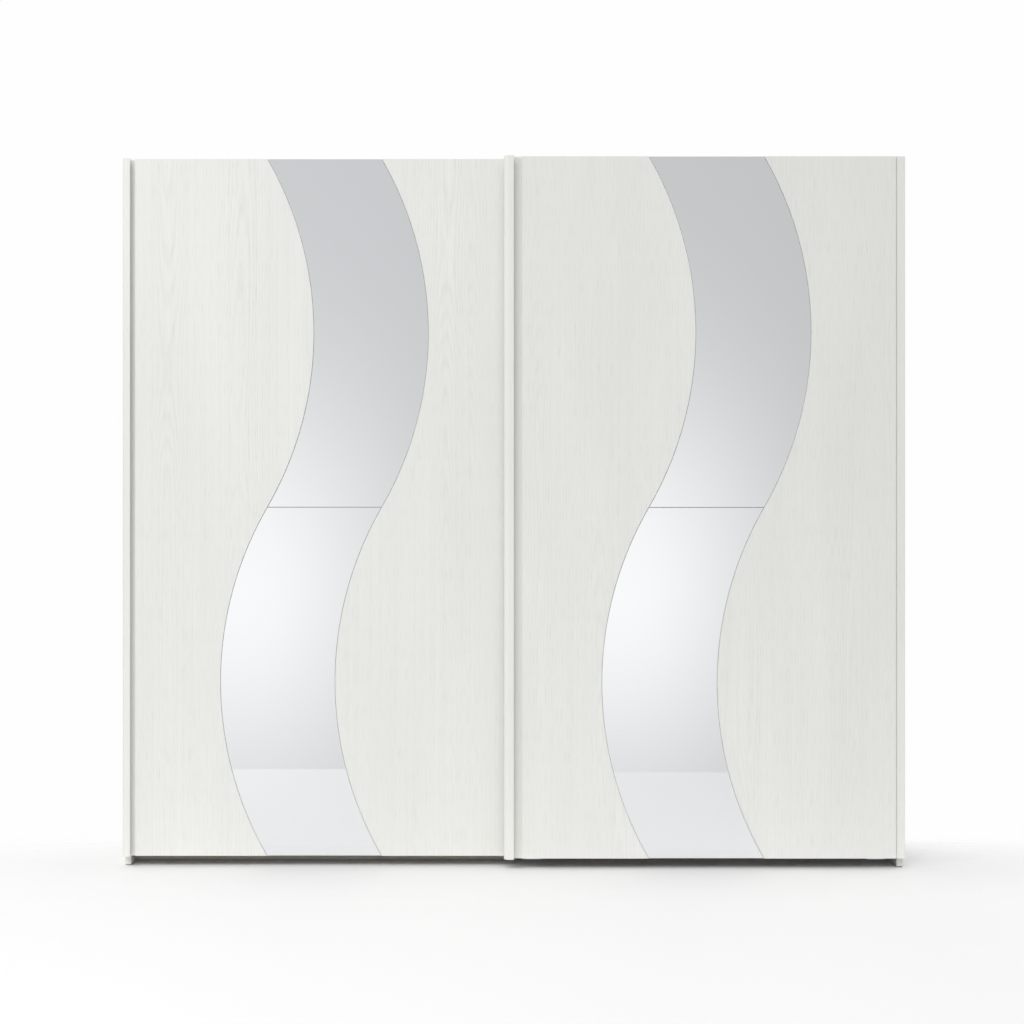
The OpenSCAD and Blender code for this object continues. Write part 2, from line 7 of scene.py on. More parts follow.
import bmesh
import bpy
from bpy.props import FloatProperty, FloatVectorProperty, IntProperty, PointerProperty
from bpy.types import Operator, Panel, PropertyGroup
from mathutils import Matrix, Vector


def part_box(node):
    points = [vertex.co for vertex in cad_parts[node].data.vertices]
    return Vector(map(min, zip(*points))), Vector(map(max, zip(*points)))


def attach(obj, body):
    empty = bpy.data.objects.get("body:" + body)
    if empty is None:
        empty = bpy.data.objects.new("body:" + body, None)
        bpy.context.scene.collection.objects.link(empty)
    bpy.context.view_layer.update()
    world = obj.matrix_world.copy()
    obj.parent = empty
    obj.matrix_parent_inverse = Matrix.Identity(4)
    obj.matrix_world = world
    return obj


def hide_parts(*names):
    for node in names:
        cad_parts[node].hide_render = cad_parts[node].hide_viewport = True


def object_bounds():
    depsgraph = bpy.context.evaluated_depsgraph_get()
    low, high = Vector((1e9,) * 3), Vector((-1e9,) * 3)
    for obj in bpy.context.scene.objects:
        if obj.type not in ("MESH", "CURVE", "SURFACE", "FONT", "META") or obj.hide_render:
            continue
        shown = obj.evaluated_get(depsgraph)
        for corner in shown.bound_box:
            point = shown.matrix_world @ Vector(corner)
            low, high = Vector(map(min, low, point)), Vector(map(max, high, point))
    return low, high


bl_info = {
    "name": "Sliding wardrobe",
    "version": (1, 0, 0),
    "blender": (4, 5, 0),
    "location": "3D View > Sidebar > Wardrobe",
    "description": "Finishes the parts of a sliding door wardrobe and sets up its studio",
    "category": "Object",
}

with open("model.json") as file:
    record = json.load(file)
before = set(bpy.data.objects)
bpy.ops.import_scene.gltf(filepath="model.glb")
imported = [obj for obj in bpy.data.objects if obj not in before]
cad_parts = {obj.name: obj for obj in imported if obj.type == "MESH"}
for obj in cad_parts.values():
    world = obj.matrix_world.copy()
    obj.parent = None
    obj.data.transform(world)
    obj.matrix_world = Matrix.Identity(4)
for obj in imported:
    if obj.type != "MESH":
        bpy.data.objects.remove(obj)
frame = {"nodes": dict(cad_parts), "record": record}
CAD_BOX = [list(corner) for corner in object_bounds()]
NODES = frame["nodes"]
BODY_OF = {
    node: body for body, nodes in frame["record"]["behaviour"]["bodies"].items() for node in nodes
}

DOORS = ("left", "right")
WHEELS = [f"{door}_wheel_{n}" for door in DOORS for n in (1, 2, 3, 4)]
ROLLERS = [f"{door}_roller_{n}" for door in DOORS for n in (1, 2)]
UPRIGHT_BOARDS = ["side_left", "side_right", "side_filler"]
INSIDE_UPRIGHT = ["partition"]
INSIDE_LEVEL = [
    f"{board}_{side}" for board in ("top", "bottom", "shelf", "rear_rail") for side in DOORS
]
PLINTHS = ["plinth_left", "plinth_right"]
BACKS = ["back_left", "back_right"]
RAILS = ["rail_left", "rail_right"]
TRACKS = ["top_track", "guide_track", "track_stops", "left_carriages", "right_carriages"]
STEEL = ["shelf_pins", "rail_sockets", "cam_fittings", "wall_brackets", "carcass_screws"]
STEEL += [f"{door}_{part}" for door in DOORS for part in ("hangers", "adjusters", "screws", "guide_arms")]
BLACK = ["glides", "stop_buffers"]

MM = 0.001

# Colours of the pieces that aren't stained or laminated
TRACK_ALUMINIUM = (0.72, 0.73, 0.74)
RAIL_ALUMINIUM = (0.78, 0.78, 0.79)
BRIGHT_ZINC = (0.66, 0.67, 0.69)
NATURAL_NYLON = (0.80, 0.79, 0.74)
BLACK_PLASTIC = (0.030, 0.030, 0.032)
GLASS_EDGE_DARK, GLASS_EDGE_PALE = (0.40, 0.47, 0.45, 1), (0.55, 0.61, 0.59, 1)

# Tones of the studio, as grey levels or colours
FLOOR_DARK, FLOOR_PALE = 0.905, 0.925
ROOM_LEFT, ROOM_RIGHT = (0.662, 0.672, 0.680, 1), (0.578, 0.582, 0.592, 1)
WINDOW_LEVEL, LOW_LEVEL, BACKDROP_LEVEL = 1.03, 0.95, 0.99


# ---------------------------------------------------------------- settings


class WardrobeFinish(PropertyGroup):
    """Colours and surface sizes of the wardrobe's own materials."""

    ash_colour: FloatVectorProperty(
        name="Ash", description="Stained ash on the fronts", subtype="COLOR", size=3,
        default=(0.820, 0.820, 0.788), min=0, max=1,
    )
    plinth_colour: FloatVectorProperty(
        name="Plinth", description="Boards set back under the doors", subtype="COLOR", size=3,
        default=(0.700, 0.655, 0.590), min=0, max=1,
    )
    board_colour: FloatVectorProperty(
        name="Inside board", description="Melamine inside the carcass", subtype="COLOR", size=3,
        default=(0.740, 0.720, 0.660), min=0, max=1,
    )
    mirror_colour: FloatVectorProperty(
        name="Mirror", description="Silvering of the mirrors", subtype="COLOR", size=3,
        default=(0.915, 0.925, 0.935), min=0, max=1,
    )
    leaf_width: FloatProperty(
        name="Veneer leaf", description="Width of one leaf of ash veneer", subtype="DISTANCE",
        default=0.240, min=0.05, max=0.5,
    )
    ring_spacing: FloatProperty(
        name="Grain spacing", description="Distance between two growth lines", subtype="DISTANCE",
        default=0.0060, min=0.002, max=0.03,
    )
    edge_round: FloatProperty(
        name="Edge rounding", description="Rounding of a board's edges", subtype="DISTANCE",
        default=0.0010, min=0.0002, max=0.002,
    )
    mirror_edge: FloatProperty(
        name="Mirror edge", description="Ground edge of a mirror", subtype="DISTANCE",
        default=0.0010, min=0.0002, max=0.0015,
    )


class WardrobeStudio(PropertyGroup):
    """Camera, floor and light around the wardrobe."""

    eye_height: FloatProperty(
        name="Camera height", description="Height of the lens over the floor", subtype="DISTANCE",
        default=1.365, min=0.2, max=3,
    )
    distance: FloatProperty(
        name="Camera distance", description="From the lens to the front door's face",
        subtype="DISTANCE", default=7.0, min=3, max=15,
    )
    lens: FloatProperty(
        name="Lens", description="Focal length on a 36 mm sensor, in millimetres",
        default=70.2, min=20, max=200,
    )
    key_strength: FloatProperty(
        name="Key light", description="Strength of the broad light from above in front",
        default=1.30, min=0, max=10,
    )
    key_height: FloatProperty(
        name="Key height", description="How high the key light stands", subtype="ANGLE",
        default=math.radians(41), min=0, max=math.radians(90),
    )
    key_side: FloatProperty(
        name="Key side", description="How far to the left the key light stands", subtype="ANGLE",
        default=math.radians(12), min=0, max=math.radians(90),
    )
    key_width: FloatProperty(
        name="Key width", description="Angle that the key light fills, seen from the doors",
        subtype="ANGLE", default=math.radians(38), min=0, max=math.radians(90),
    )
    side_power: FloatProperty(
        name="Side light", description="Soft box high up on the left", subtype="POWER",
        default=49.0, min=0, max=2000,
    )
    fill: FloatProperty(
        name="Room light", description="Strength of the even light from above and all round",
        default=0.53, min=0, max=3,
    )
    low_fill: FloatProperty(
        name="Low light", description="Strength of the light from below the horizon",
        default=0.40, min=0, max=3,
    )
    back_fill: FloatProperty(
        name="Back light", description="Strength of the even light from behind the wardrobe",
        default=0.90, min=0, max=3,
    )
    floor_reach: FloatProperty(
        name="Floor reach", description="How far the floor runs in front of the doors",
        subtype="DISTANCE", default=2.30, min=0.5, max=10,
    )
    floor_veil: FloatProperty(
        name="Floor veil", description="How solid the floor is in front, where it fades into the room",
        default=0.55, min=0, max=1,
    )
    seed: IntProperty(
        name="Seed", description="Offset of all the surface patterns", default=3, min=0, max=100,
    )


# ---------------------------------------------------------------- node helpers


class Graph:
    """Short calls for building a node tree."""

    def __init__(self, tree):
        self.tree = tree

    def add(self, kind, **settings):
        node = self.tree.nodes.new(kind)
        for name, value in settings.items():
            setattr(node, name, value)
        return node

    def feed(self, socket, value):
        if isinstance(value, bpy.types.NodeSocket):
            self.tree.links.new(value, socket)
        elif value is not None:
            socket.default_value = value

    def math(self, operation, a, b=None, c=None, clamp=False):
        node = self.add("ShaderNodeMath", operation=operation, use_clamp=clamp)
        for socket, value in zip(node.inputs, (a, b, c)):
            self.feed(socket, value)
        return node.outputs[0]

    def scaled(self, vector, factors):
        node = self.add("ShaderNodeVectorMath", operation="MULTIPLY")
        self.feed(node.inputs[0], vector)
        self.feed(node.inputs[1], factors)
        return node.outputs[0]

    def noise(self, vector, scale, detail=2.0, roughness=0.5, distortion=0.0):
        node = self.add("ShaderNodeTexNoise")
        self.feed(node.inputs["Vector"], vector)
        self.feed(node.inputs["Scale"], scale)
        self.feed(node.inputs["Detail"], detail)
        self.feed(node.inputs["Roughness"], roughness)
        self.feed(node.inputs["Distortion"], distortion)
        return node.outputs["Fac"]

    def fit(self, value, low, high, out_low=0.0, out_high=1.0):
        node = self.add("ShaderNodeMapRange")
        for socket, number in zip(node.inputs, (value, low, high, out_low, out_high)):
            self.feed(socket, number)
        return node.outputs[0]

    def mix(self, factor, a, b):
        node = self.add("ShaderNodeMix", data_type="RGBA")
        self.feed(node.inputs["Factor"], factor)
        self.feed(node.inputs["A"], a)
        self.feed(node.inputs["B"], b)
        return node.outputs["Result"]

    def group(self, tree, **values):
        node = self.add("ShaderNodeGroup", node_tree=tree)
        for name, value in values.items():
            self.feed(node.inputs[name.replace("_", " ")], value)
        return node.outputs


def new_group(name, inputs, outputs):
    """An empty shader node group: inputs and outputs are (name, socket type, default) rows."""
    tree = bpy.data.node_groups.new(name, "ShaderNodeTree")
    for rows, side in ((inputs, "INPUT"), (outputs, "OUTPUT")):
        for label, kind, default in rows:
            socket = tree.interface.new_socket(name=label, in_out=side, socket_type=kind)
            if default is not None:
                socket.default_value = default
    graph = Graph(tree)
    return graph, graph.add("NodeGroupInput").outputs, graph.add("NodeGroupOutput").inputs


FLOAT, VECTOR = "NodeSocketFloat", "NodeSocketVector"


# ---------------------------------------------------------------- shared effects


def ash_group():
    """Flat-sawn ash veneer with the grain along Z: arched growth lines, fine pores and slow tone."""
    name = "Open pore ash"
    if name in bpy.data.node_groups:
        return bpy.data.node_groups[name]
    inputs = [("Vector", VECTOR, None), ("Leaf Width", FLOAT, 0.19), ("Spacing", FLOAT, 0.01),
              ("Seed", FLOAT, 0.0)]
    outputs = [("Lines", FLOAT, None), ("Pores", FLOAT, None), ("Tone", FLOAT, None),
               ("Height", FLOAT, None)]
    g, into, out = new_group(name, inputs, outputs)
    split = g.add("ShaderNodeSeparateXYZ")
    g.feed(split.inputs[0], into["Vector"])
    x, y, z = split.outputs
    # Which leaf of veneer a point is on, and how far it is from the middle of that leaf's arches
    across = g.math("ADD", x, g.math("MULTIPLY", y, 0.35))
    leaf = g.math("FLOOR", g.math("DIVIDE", across, into["Leaf Width"]))
    chance = g.add("ShaderNodeTexWhiteNoise", noise_dimensions="1D")
    g.feed(chance.inputs["W"], g.math("ADD", leaf, into["Seed"]))
    luck = chance.outputs["Value"]
    inside = g.math("SUBTRACT", g.math("MODULO", g.math("ADD", across, 40.0), into["Leaf Width"]),
                    g.math("MULTIPLY", into["Leaf Width"], g.math("MULTIPLY_ADD", luck, 0.5, 0.25)))
    # Growth rings cut at a slowly changing depth, which closes them into arches
    place = g.add("ShaderNodeCombineXYZ")
    g.feed(place.inputs[0], g.math("MULTIPLY", across, 1.6))
    g.feed(place.inputs[1], g.math("MULTIPLY_ADD", luck, 37.0, into["Seed"]))
    g.feed(place.inputs[2], g.math("MULTIPLY", z, 0.40))
    drift = g.noise(place.outputs[0], 1.0, 2.0)
    depth = g.fit(drift, 0.3, 0.7, 0.0, 0.10)
    reach = g.math("SQRT", g.math("ADD", g.math("MULTIPLY", inside, inside),
                                  g.math("MULTIPLY", depth, depth)))
    waver = g.noise(g.scaled(into["Vector"], (11.0, 11.0, 1.0)), 1.0, 3.0, 0.6)
    ring = g.math("ADD", reach, g.math("MULTIPLY", waver, 0.010))
    wave = g.math("SINE", g.math("MULTIPLY", g.math("DIVIDE", ring, into["Spacing"]), 2 * math.pi))
    lines = g.math("POWER", g.fit(wave, -1.0, 1.0), 2.0)
    # Rings come and go, over fine threads that run the whole length
    fade = g.fit(g.noise(g.scaled(into["Vector"], (7.0, 7.0, 0.6)), 1.0, 3.0), 0.42, 0.66, 0.06, 1.0)
    lines = g.math("MULTIPLY", lines, fade)
    threads = g.fit(g.noise(g.scaled(into["Vector"], (190.0, 190.0, 0.9)), 1.0, 2.0, 0.5), 0.30, 0.72)
    lines = g.math("ADD", g.math("MULTIPLY", lines, 0.55), g.math("MULTIPLY", threads, 0.45))
    # Short open pores, most of them in the rings
    streaks = g.noise(g.scaled(into["Vector"], (520.0, 520.0, 14.0)), 1.0, 2.0, 0.6)
    pores = g.fit(streaks, 0.50, 0.70)
    pores = g.math("MULTIPLY", pores, g.math("MULTIPLY_ADD", lines, 0.6, 0.4))
    tone = g.noise(g.scaled(into["Vector"], (3.0, 3.0, 0.8)), 1.0, 3.0, 0.5)
    g.feed(out["Lines"], lines)
    g.feed(out["Pores"], pores)
    g.feed(out["Tone"], tone)
    g.feed(out["Height"], g.math("SUBTRACT", 1.0, g.math("ADD", g.math("MULTIPLY", pores, 0.65),
                                                     g.math("MULTIPLY", lines, 0.35))))
    return g.tree


def speckle_group():
    """Fine even texture of melamine, plastic and plate: a mask and a height."""
    name = "Fine speckle"
    if name in bpy.data.node_groups:
        return bpy.data.node_groups[name]
    inputs = [("Vector", VECTOR, None), ("Scale", FLOAT, 900.0), ("Stretch", FLOAT, 1.0)]
    outputs = [("Mask", FLOAT, None), ("Height", FLOAT, None)]
    g, into, out = new_group(name, inputs, outputs)
    split = g.add("ShaderNodeSeparateXYZ")
    g.feed(split.inputs[0], into["Vector"])
    joined = g.add("ShaderNodeCombineXYZ")
    g.feed(joined.inputs[0], g.math("MULTIPLY", split.outputs[0], into["Stretch"]))
    g.feed(joined.inputs[1], g.math("MULTIPLY", split.outputs[1], into["Stretch"]))
    g.feed(joined.inputs[2], split.outputs[2])
    fine = g.noise(joined.outputs[0], into["Scale"], 2.0, 0.6)
    coarse = g.noise(joined.outputs[0], g.math("MULTIPLY", into["Scale"], 0.12), 3.0, 0.5)
    mask = g.math("ADD", g.math("MULTIPLY", fine, 0.6), g.math("MULTIPLY", coarse, 0.4))
    g.feed(out["Mask"], mask)
    g.feed(out["Height"], fine)
    return g.tree


def drawn_group():
    """Straight draw lines of extruded or rolled metal, running along X."""
    name = "Drawn lines"
    if name in bpy.data.node_groups:
        return bpy.data.node_groups[name]
    inputs = [("Vector", VECTOR, None), ("Density", FLOAT, 2400.0)]
    outputs = [("Mask", FLOAT, None), ("Height", FLOAT, None)]
    g, into, out = new_group(name, inputs, outputs)
    lines = g.noise(g.scaled(into["Vector"], (0.004, 1.0, 1.0)), into["Density"], 3.0, 0.65)
    patch = g.noise(g.scaled(into["Vector"], (3.0, 20.0, 20.0)), 1.0, 2.0)
    g.feed(out["Mask"], g.math("ADD", g.math("MULTIPLY", lines, 0.7), g.math("MULTIPLY", patch, 0.3)))
    g.feed(out["Height"], lines)
    return g.tree


def handling_group():
    """Soft marks of dust and handling, as a mask from 0, clean, to 1."""
    name = "Handling marks"
    if name in bpy.data.node_groups:
        return bpy.data.node_groups[name]
    inputs = [("Vector", VECTOR, None), ("Scale", FLOAT, 5.0)]
    outputs = [("Mask", FLOAT, None)]
    g, into, out = new_group(name, inputs, outputs)
    clouds = g.noise(into["Vector"], into["Scale"], 4.0, 0.6, 0.6)
    wipes = g.noise(g.scaled(into["Vector"], (3.0, 3.0, 0.8)), into["Scale"], 2.0, 0.5, 1.2)
    g.feed(out["Mask"], g.fit(g.math("MULTIPLY", clouds, wipes), 0.15, 0.45))
    return g.tree


# ---------------------------------------------------------------- materials


def new_material(name, **constants):
    """A material with one Principled shader; constants are set on the shader's own sockets."""
    material = bpy.data.materials.new(name)
    material.use_nodes = True
    graph = Graph(material.node_tree)
    shader = material.node_tree.nodes["Principled BSDF"]
    for label, value in constants.items():
        shader.inputs[label.replace("_", " ")].default_value = value
    return material, graph, shader.inputs


def object_space(g):
    return g.add("ShaderNodeTexCoord").outputs["Object"]


def relief(g, shader, height, strength, distance):
    bump = g.add("ShaderNodeBump")
    g.feed(bump.inputs["Strength"], strength)
    g.feed(bump.inputs["Distance"], distance)
    g.feed(bump.inputs["Height"], height)
    g.feed(shader["Normal"], bump.outputs[0])


def grey(level):
    return (level, level, level, 1)


def tinted(colour, factor):
    return tuple(min(1.0, channel * factor) for channel in colour) + (1.0,)


def grain_space(g, grain):
    """Object coordinates turned so that the wanted grain direction becomes Z."""
    mapping = g.add("ShaderNodeMapping")
    g.feed(mapping.inputs["Vector"], object_space(g))
    if grain == "X":
        g.feed(mapping.inputs["Rotation"], (0.0, math.radians(90), 0.0))
    return mapping.outputs[0]


def ash_material(name, finish, grain="Z", seed=0.0, contrast=1.0, narrow=1.0):
    """Ash stained off-white with its pores left open, and a satin lacquer."""
    material, g, shader = new_material(name, Specular_IOR_Level=0.35, Coat_Weight=0.04,
                                       Coat_Roughness=0.35)
    space = grain_space(g, grain)
    ash = g.group(ash_group(), Vector=space, Leaf_Width=finish.leaf_width * narrow,
                  Spacing=finish.ring_spacing * narrow, Seed=seed)
    base = g.mix(g.fit(ash["Tone"], 0.35, 0.65), tinted(finish.ash_colour, 0.985),
                 tinted(finish.ash_colour, 1.03))
    base = g.mix(g.math("MULTIPLY", ash["Lines"], 0.62 * contrast), base, tinted(finish.ash_colour, 0.89))
    base = g.mix(g.math("MULTIPLY", ash["Pores"], 0.60 * contrast), base, tinted(finish.ash_colour, 0.76))
    g.feed(shader["Base Color"], base)
    g.feed(shader["Roughness"], g.fit(ash["Pores"], 0.0, 1.0, 0.46, 0.66))
    relief(g, shader, ash["Height"], 0.50 * contrast, 0.20 * MM)
    return material


def board_material(name, colour, grain="Z", seed=0.0):
    """Melamine board with a fine woven print and a dry touch."""
    material, g, shader = new_material(name, Specular_IOR_Level=0.3)
    space = grain_space(g, grain)
    texture = g.group(speckle_group(), Vector=space, Scale=420.0, Stretch=4.0)
    marks = g.group(handling_group(), Vector=space, Scale=1.5 + 0.1 * seed)
    base = g.mix(g.fit(texture["Mask"], 0.35, 0.65), tinted(colour, 0.93), tinted(colour, 1.03))
    g.feed(shader["Base Color"], g.mix(g.math("MULTIPLY", marks["Mask"], 0.12), base, tinted(colour, 0.9)))
    g.feed(shader["Roughness"], g.fit(texture["Mask"], 0.3, 0.7, 0.52, 0.66))
    relief(g, shader, texture["Height"], 0.35, 0.1 * MM)
    return material


def mirror_material(finish):
    """Silvered glass: clean, with the slightest breath of wiping marks."""
    material, g, shader = new_material("Silvered mirror", Metallic=1.0)
    marks = g.group(handling_group(), Vector=object_space(g), Scale=2.2)
    g.feed(shader["Base Color"], g.mix(g.math("MULTIPLY", marks["Mask"], 0.35),
                                       tinted(finish.mirror_colour, 1.0),
                                       tinted(finish.mirror_colour, 0.985)))
    g.feed(shader["Roughness"], g.fit(marks["Mask"], 0.0, 1.0, 0.012, 0.035))
    return material


def mirror_edge_material():
    """The ground edge of the glass, where its green body colour shows."""
    material, g, shader = new_material("Ground glass edge", Specular_IOR_Level=0.6)
    texture = g.group(speckle_group(), Vector=object_space(g), Scale=1500.0)
    g.feed(shader["Base Color"], g.mix(texture["Mask"], GLASS_EDGE_DARK, GLASS_EDGE_PALE))
    g.feed(shader["Roughness"], g.fit(texture["Mask"], 0.3, 0.7, 0.25, 0.4))
    return material


def metal_material(name, colour, roughness, lined=True):
    """Anodised or zinc-plated metal with draw lines or a mottled plate."""
    material, g, shader = new_material(name, Metallic=1.0)
    space = object_space(g)
    if lined:
        surface = g.group(drawn_group(), Vector=space)
    else:
        surface = g.group(speckle_group(), Vector=space, Scale=260.0)
    marks = g.group(handling_group(), Vector=space, Scale=9.0)
    base = g.mix(g.fit(surface["Mask"], 0.3, 0.7), tinted(colour, 0.86), tinted(colour, 1.05))
    g.feed(shader["Base Color"], g.mix(g.math("MULTIPLY", marks["Mask"], 0.3), base, tinted(colour, 0.8)))
    g.feed(shader["Roughness"], g.fit(surface["Mask"], 0.3, 0.7, roughness - 0.06, roughness + 0.08))
    relief(g, shader, surface["Height"], 0.2, 0.05 * MM)
    return material


def plastic_material(name, colour, roughness):
    """Moulded nylon, plastic or rubber with a spark-eroded skin."""
    material, g, shader = new_material(name, Specular_IOR_Level=0.4)
    texture = g.group(speckle_group(), Vector=object_space(g), Scale=1100.0)
    marks = g.group(handling_group(), Vector=object_space(g), Scale=25.0)
    base = g.mix(g.fit(texture["Mask"], 0.35, 0.65), tinted(colour, 0.9), tinted(colour, 1.08))
    g.feed(shader["Base Color"], g.mix(g.math("MULTIPLY", marks["Mask"], 0.3), base, tinted(colour, 0.82)))
    g.feed(shader["Roughness"], g.fit(texture["Mask"], 0.3, 0.7, roughness - 0.08, roughness + 0.08))
    relief(g, shader, texture["Height"], 0.3, 0.06 * MM)
    return material


# ---------------------------------------------------------------- pieces


def paint(obj, material):
    """Puts one material on every face of an object."""
    if not obj.material_slots:
        obj.data.materials.append(material)
    for place in obj.material_slots:
        place.material = material


def eased_piece(node, width, label, material, segments=2):
    """A copy of a board or pane with its sharp edges eased, riding in place of the CAD node."""
    flat_angle = math.radians(0.05)
    sharp_angle = math.radians(30)
    mesh = bpy.data.meshes.new(label)
    shape = bmesh.new()
    shape.from_mesh(NODES[node].data)
    bmesh.ops.remove_doubles(shape, verts=shape.verts, dist=0.00001)
    bmesh.ops.dissolve_limit(shape, angle_limit=flat_angle, verts=shape.verts, edges=shape.edges)
    sharp = [e for e in shape.edges if len(e.link_faces) == 2 and e.calc_face_angle(0.0) > sharp_angle]
    bmesh.ops.bevel(shape, geom=sharp, offset=width, offset_type="OFFSET", segments=segments,
                    profile=0.5, affect="EDGES", clamp_overlap=True)
    for face in shape.faces:
        face.smooth = True
    shape.to_mesh(mesh)
    shape.free()
    mesh.set_sharp_from_angle(angle=sharp_angle)
    piece = bpy.data.objects.new(label, mesh)
    bpy.context.scene.collection.objects.link(piece)
    mesh.materials.append(material)
    weigh = piece.modifiers.new("Even faces", "WEIGHTED_NORMAL")
    weigh.keep_sharp = True
    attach(piece, BODY_OF[node])
    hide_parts(node)
    return piece


class WARDROBE_OT_doors(Operator):
    """Ash panels of both doors, each from its own flitch"""

    bl_idname = "wardrobe.doors"
    bl_label = "Door panels"

    def execute(self, context):
        finish = context.scene.wardrobe_finish
        for n, door in enumerate(DOORS):
            seed = context.scene.wardrobe_studio.seed + 11.0 * n
            ash = ash_material(f"Stained ash {door} door", finish, seed=seed)
            eased_piece(f"{door}_panel", finish.edge_round, f"{door}_door_front", ash)
        return {"FINISHED"}


class WARDROBE_OT_grips(Operator):
    """Solid ash grip posts and edge strips of both doors"""

    bl_idname = "wardrobe.grips"
    bl_label = "Grips and edge strips"

    def execute(self, context):
        finish = context.scene.wardrobe_finish
        ash = ash_material("Stained ash moulding", finish, seed=29.0, contrast=0.6, narrow=0.45)
        for door in DOORS:
            eased_piece(f"{door}_grip", finish.edge_round, f"{door}_grip_post", ash)
            eased_piece(f"{door}_edge_strip", finish.edge_round, f"{door}_side_strip", ash)
        return {"FINISHED"}


class WARDROBE_OT_mirrors(Operator):
    """Four mirrors with silvered faces and ground edges"""

    bl_idname = "wardrobe.mirrors"
    bl_label = "Mirrors"

    def execute(self, context):
        finish = context.scene.wardrobe_finish
        silver, edge = mirror_material(finish), mirror_edge_material()
        for door in DOORS:
            for half in ("upper", "lower"):
                pane = eased_piece(f"{door}_mirror_{half}", finish.mirror_edge,
                                   f"{door}_{half}_pane", silver)
                pane.data.materials.append(edge)
                for face in pane.data.polygons:
                    face.material_index = 0 if abs(face.normal.y) > 0.5 else 1
        return {"FINISHED"}


class WARDROBE_OT_carcass(Operator):
    """Sides, partition, top, bottom, shelves, backs and plinths"""

    bl_idname = "wardrobe.carcass"
    bl_label = "Carcass boards"

    def execute(self, context):
        finish = context.scene.wardrobe_finish
        outside = ash_material("Stained ash side", finish, seed=51.0)
        base = board_material("Plinth board", finish.plinth_colour, grain="X", seed=4.0)
        upright = board_material("Melamine upright", finish.board_colour, seed=1.0)
        level = board_material("Melamine level", finish.board_colour, grain="X", seed=2.0)
        back = board_material("Melamine back", tinted(finish.board_colour, 0.97)[:3], seed=3.0)
        plan = [(UPRIGHT_BOARDS, outside), (PLINTHS, base), (INSIDE_UPRIGHT, upright),
                (INSIDE_LEVEL, level), (BACKS, back)]
        for nodes, material in plan:
            for node in nodes:
                eased_piece(node, 0.6 * finish.edge_round, f"{node}_board", material)
        return {"FINISHED"}


class WARDROBE_OT_hardware(Operator):
    """Tracks, rails, steel plates, fittings and screws"""

    bl_idname = "wardrobe.hardware"
    bl_label = "Metal hardware"

    def execute(self, context):
        track = metal_material("Anodised track", TRACK_ALUMINIUM, 0.38)
        rail = metal_material("Anodised rail", RAIL_ALUMINIUM, 0.26)
        zinc = metal_material("Bright zinc", BRIGHT_ZINC, 0.32, lined=False)
        for nodes, material in ((TRACKS, track), (RAILS, rail), (STEEL, zinc)):
            for node in nodes:
                paint(NODES[node], material)
        return {"FINISHED"}


class WARDROBE_OT_wheels(Operator):
    """Nylon wheels and rollers, plastic glides and rubber buffers"""

    bl_idname = "wardrobe.wheels"
    bl_label = "Wheels, glides and buffers"

    def execute(self, context):
        nylon = plastic_material("Natural nylon", NATURAL_NYLON, 0.45)
        black = plastic_material("Black moulding", BLACK_PLASTIC, 0.6)
        for nodes, material in ((WHEELS + ROLLERS, nylon), (BLACK, black)):
            for node in nodes:
                paint(NODES[node], material)
        return {"FINISHED"}


# ---------------------------------------------------------------- studio


def floor_material(studio):
    """Pale studio floor that fades into the white room on every side."""
    material, g, shader = new_material("Studio floor", Roughness=0.6, Specular_IOR_Level=0.2)
    space = object_space(g)
    texture = g.group(speckle_group(), Vector=space, Scale=60.0)
    g.feed(shader["Base Color"], g.mix(texture["Mask"], grey(FLOOR_DARK), grey(FLOOR_PALE)))
    split = g.add("ShaderNodeSeparateXYZ")
    g.feed(split.inputs[0], space)
    # Solid only round the wardrobe's foot
    ahead = g.fit(split.outputs[1], -0.75, -0.28, studio.floor_veil, 1.0)
    behind = g.fit(split.outputs[1], -0.10, 0.30, 1.0, 0.0)
    beside = g.fit(g.math("ABSOLUTE", split.outputs[0]), 1.35, 2.6, 1.0, 0.0)
    g.feed(shader["Alpha"], g.math("MULTIPLY", g.math("MULTIPLY", ahead, behind), beside))
    return material


def build_floor(studio):
    """A level sheet that ends a little way in front of the doors."""
    half_width, back = 6.0, 3.0  # far past where the floor has faded
    front = CAD_BOX[0][1] - studio.floor_reach
    mesh = bpy.data.meshes.new("studio_floor")
    shape = bmesh.new()
    corners = [(-half_width, front), (half_width, front), (half_width, back), (-half_width, back)]
    shape.faces.new([shape.verts.new((x, y, 0.0)) for x, y in corners])
    shape.to_mesh(mesh)
    shape.free()
    floor = bpy.data.objects.new("studio_floor", mesh)
    bpy.context.scene.collection.objects.link(floor)
    mesh.materials.append(floor_material(studio))


